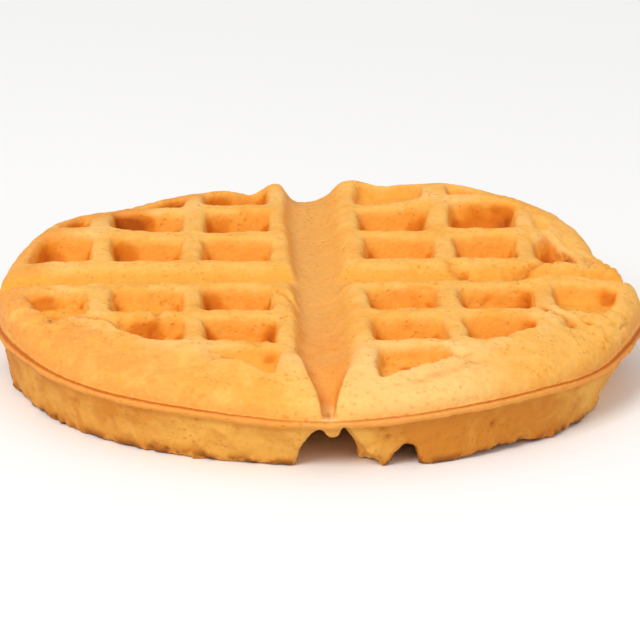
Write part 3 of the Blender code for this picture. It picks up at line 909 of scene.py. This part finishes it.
def underside_colour(crust):
    """The underside: its ribs, with orange pockets that are darkest in their hollows, as painted shade mixed
    with browning.
    """
    lifted = (crust.tall + SEAM_HEIGHT / MM).between(0.8, 6.0)
    colour = crust.mix(crust.golden * 0.7 + 0.15, RIB, GOLD)
    colour = crust.mix(lifted * 0.6 + crust.blotches - 0.5, colour, ORANGE)
    # Painted shade mixed with browning: darker in the underside's hollows
    return crust.mix(lifted * crust.hollow.between(0.2, 1.8) * (0.4 + crust.blotches), colour, DEEP)


def side_colour(crust):
    """The lower side, browner in places and burnt along its foot, and the underside within it."""
    x, tall, mottle = crust.x, crust.tall, crust.mottle
    darker = x.between(8 * MM, 24 * MM) - x.between(50 * MM, 76 * MM) * 0.8
    darker = darker + x.between(-15 * MM, -60 * MM) * 0.6
    darker = darker + crust.blotches.between(0.35, 0.7) * 0.6 + crust.patches.between(0.45, 0.7) * 0.4 - 0.3
    colour = crust.mix(darker, SIDE_GOLD, SIDE_BROWN)
    colour = crust.mix(tall.between(-9.5, -13.5) * mottle.between(0.3, 0.6) * 0.8, colour, SIDE_BROWN)
    colour = crust.mix(tall.between(-11.4, -14.4) * mottle.between(0.42, 0.58) * 0.95, colour, BURNT)
    return crust.mix(crust.radius.between(83.5 * MM, 80 * MM), colour, underside_colour(crust))


def seam_colour(crust, colour):
    """The lip, with a darker band below it, which is the lip's painted shade, and a red line above it, which
    is painted shade in the crease and is stronger towards the ends.
    """
    tall = crust.tall
    rim = crust.radius.between(82 * MM, 85 * MM)
    # Painted shade: a darker band under the lip
    colour = crust.mix(tall.near(-1.8, 1.6) * rim * (0.2 + crust.blotches * 0.6), colour, SIDE_BROWN)
    colour = crust.mix(tall.near(0.0, 1.0) * rim * 0.8, colour, WARM)
    ends = abs(crust.x - 5 * MM).between(15 * MM, 45 * MM)
    # Painted shade: a red line in the crease above the lip
    line = tall.near(1.5, 1.2) * rim * (0.35 + crust.patches * 0.7 + ends * 0.5)
    return crust.mix(line, colour, SEAM_CREASE_SHADE)


def marks(crust, colour):
    """Darker folds and creases, as painted shade in their grooves, darker pores, as browning with painted
    shade in the pits, and pale specks where the crust is neither browned nor shaded.
    """
    folded, specks = crust.folded, crust.specks
    # Painted shade in the folds' grooves
    colour = crust.mix(folded.between(0.1, 1.1) * (0.3 + crust.blotches * 0.7), colour, DEEP)
    colour = crust.mix(folded.between(0.8, 1.4) * crust.mottle * 1.1, colour, BROWN)
    # Painted shade in the creases
    colour = crust.mix(crust.crease.between(0.34, 0.95) * 0.5, colour, BROWN)
    # Darker pores, browning with painted shade in the pits, and darker specks
    colour = crust.mix(crust.pores * 0.3 + specks.between(0.56, 0.76) * 0.3, colour, DEEP)
    floury = specks.between(0.44, 0.25) * crust.browned.between(0.6, 0.1) * crust.tall.between(0.0, 3.0)
    return crust.mix(floury * 0.28, colour, PALE)


def golden_crust():
    material = bpy.data.materials.new("Golden crust")
    material.use_nodes = True
    crust = CrustTree(material.node_tree)
    colour = top_colour(crust)
    colour = channel_colour(crust, colour)
    colour = browned_and_shaded_colour(crust, colour)
    colour = shoulder_colour(crust, colour)
    colour = crust.mix(crust.tall.between(-0.6, -1.6), colour, side_colour(crust))
    colour = seam_colour(crust, colour)
    colour = marks(crust, colour)

    height = crust.mottle * 0.4 + crust.specks * 0.4 + crust.grit * 0.15 - crust.pores * 0.3
    bump = crust.add("ShaderNodeBump", {"Height": height, "Strength": 0.9, "Distance": 0.6 * MM})
    shader = material.node_tree.nodes["Principled BSDF"]
    crust.feed(shader.inputs["Base Color"], colour)
    crust.feed(shader.inputs["Normal"], bump)
    crust.feed(shader.inputs["Roughness"], 0.58 + crust.mottle * 0.2)
    shader.inputs["Subsurface Weight"].default_value = 0.05
    shader.inputs["Subsurface Radius"].default_value = (1.0, 0.45, 0.15)
    shader.inputs["Subsurface Scale"].default_value = 2.0 * MM
    shader.inputs["Specular IOR Level"].default_value = 0.18
    return material


# The studio

# The camera, fitted to the rib lines and the seam of the photograph
CAMERA_AZIMUTH = -1.71
CAMERA_ELEVATION = 18.02
CAMERA_DISTANCE = 1322.0 * MM
LENS_IN_PIXELS = 4777.0
IMAGE_WIDTH = 640
SENSOR_WIDTH = 36.0
AIM_RIGHT = 0.72 * MM
AIM_DOWN = 1.19 * MM

# The pale ground, and the room that lights the waffle from all round
FLOOR_HALF = 4.0
FLOOR_GAP = 0.05 * MM
FLOOR_COLOUR = (0.92, 0.92, 0.915, 1)
ROOM_LIGHT = 0.68


def camera():
    data = bpy.data.cameras.new("Camera")
    data.sensor_width = SENSOR_WIDTH
    data.lens = LENS_IN_PIXELS / IMAGE_WIDTH * SENSOR_WIDTH
    data.clip_start = 0.05
    made = bpy.data.objects.new("Camera", data)
    bpy.context.scene.collection.objects.link(made)
    azimuth, elevation = math.radians(CAMERA_AZIMUTH), math.radians(CAMERA_ELEVATION)
    back = Vector((math.sin(azimuth) * math.cos(elevation), -math.cos(azimuth) * math.cos(elevation),
                   math.sin(elevation)))
    right = Vector((math.cos(azimuth), math.sin(azimuth), 0.0))
    down = right.cross(back)
    centre = Vector((0, 0, SEAM_HEIGHT - REST_CUT))
    aim = right * AIM_RIGHT + down * AIM_DOWN
    made.location = centre + back * CAMERA_DISTANCE + aim
    made.rotation_mode = "QUATERNION"
    made.rotation_quaternion = (-back).to_track_quat("-Z", "Y")
    bpy.context.scene.camera = made


def area_light(name, azimuth, elevation, away, size, watts, colour=(1, 1, 1)):
    """A soft square light that points at the waffle. Azimuth 0 is the front and 90 the right."""
    data = bpy.data.lights.new(name, "AREA")
    data.size = size
    data.energy = watts
    data.color = colour
    made = bpy.data.objects.new(name, data)
    bpy.context.scene.collection.objects.link(made)
    turn, rise = math.radians(azimuth), math.radians(elevation)
    way = Vector((math.sin(turn) * math.cos(rise), -math.cos(turn) * math.cos(rise), math.sin(rise)))
    made.location = way * away
    made.rotation_mode = "QUATERNION"
    made.rotation_quaternion = (-way).to_track_quat("-Z", "Y")


def floor():
    mesh = bpy.data.meshes.new("Floor")
    corners = [(x * FLOOR_HALF, y * FLOOR_HALF, 0) for x, y in ((-1, -1), (1, -1), (1, 1), (-1, 1))]
    mesh.from_pydata(corners, [], [(0, 1, 2, 3)])
    made = bpy.data.objects.new("Floor", mesh)
    bpy.context.scene.collection.objects.link(made)
    made.location.z = -FLOOR_GAP
    paper = bpy.data.materials.new("Pale paper")
    paper.use_nodes = True
    shader = paper.node_tree.nodes["Principled BSDF"]
    shader.inputs["Base Color"].default_value = FLOOR_COLOUR
    shader.inputs["Roughness"].default_value = 0.8
    mesh.materials.append(paper)


def studio():
    floor()
    world = bpy.data.worlds.new("Soft room")
    world.use_nodes = True
    room = world.node_tree.nodes["Background"]
    room.inputs["Color"].default_value = (1.0, 1.0, 1.0, 1)
    room.inputs["Strength"].default_value = ROOM_LIGHT
    bpy.context.scene.world = world
    area_light("Key", azimuth=-32, elevation=46, away=2.2, size=1.0, watts=28, colour=(1.0, 0.985, 0.96))
    area_light("Fill", azimuth=40, elevation=30, away=2.2, size=1.5, watts=4.3)
    bpy.context.scene.view_settings.view_transform = "Standard"


camera()
studio()
waffle = waffle_piece(golden_crust())
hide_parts("waffle")
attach(waffle, "root")
